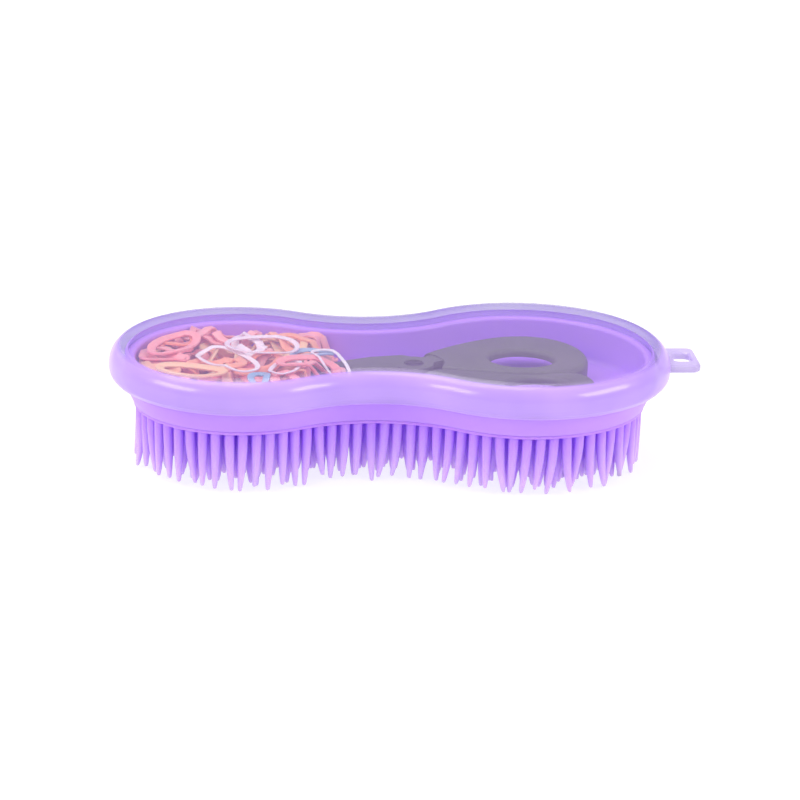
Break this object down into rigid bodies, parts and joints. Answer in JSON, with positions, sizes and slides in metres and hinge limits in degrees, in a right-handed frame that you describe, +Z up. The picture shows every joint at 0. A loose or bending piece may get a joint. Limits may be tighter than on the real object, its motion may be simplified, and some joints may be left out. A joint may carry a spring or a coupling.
{
  "type": "grooming brush with storage box",
  "caption": "Figure-eight silicone bristle brush for grooming a horse, with a clear clip-over lid over a storage tray that holds small scissors and braiding elastics.",
  "frame": {"origin": "bottom centre of the whole brush: the middle of its outline including the hanging tab, on the plane of the bristles' tips", "axes": "+X along the brush towards the large lobe and the hanging tab, +Y across it, +Z up out of the lid"},
  "size_m": [0.184, 0.0866, 0.039],
  "materials": {
    "silicone": "soft satin silicone, slightly translucent",
    "tray_plastic": "semi-gloss moulded plastic",
    "clear_plastic": "clear glossy moulding",
    "handle_plastic": "satin grey plastic",
    "blade_steel": "ground steel",
    "screw_steel": "dark steel",
    "band_pink": "glossy rubber",
    "band_orange": "glossy rubber",
    "band_yellow": "glossy rubber",
    "band_clear": "milky clear rubber",
    "band_blue": "glossy rubber"
  },
  "bodies": {
    "base": {"bristle_pad": "silicone", "storage_tray": "tray_plastic", "elastics_pink": "band_pink", "elastics_orange": "band_orange", "elastics_yellow": "band_yellow", "elastics_clear": "band_clear", "elastics_blue": "band_blue"},
    "lid": {"lid": "clear_plastic"},
    "scissors_rear": {"scissors_rear_handle": "handle_plastic", "scissors_upper_blade": "blade_steel", "scissors_pivot_screw": "screw_steel"},
    "scissors_front": {"scissors_front_handle": "handle_plastic", "scissors_lower_blade": "blade_steel"}
  },
  "joints": [
    {"name": "lid_lift", "type": "slide", "parent": "base", "child": "lid", "axis": [0, 0, 1], "range_m": [0, 0.07]},
    {"name": "scissors_lift", "type": "slide", "parent": "base", "child": "scissors_rear", "axis": [0, 0, 1], "range_m": [0, 0.035]},
    {"name": "scissors_open", "type": "hinge", "parent": "scissors_rear", "child": "scissors_front", "pos_m": [0.0028, 0.002, 0.0265], "axis": [0, 0, -1], "range_deg": [0, 7]}
  ],
  "couplings": [
    {"joint": "scissors_lift", "follows": "lid_lift", "ratio": 0.5}
  ]
}
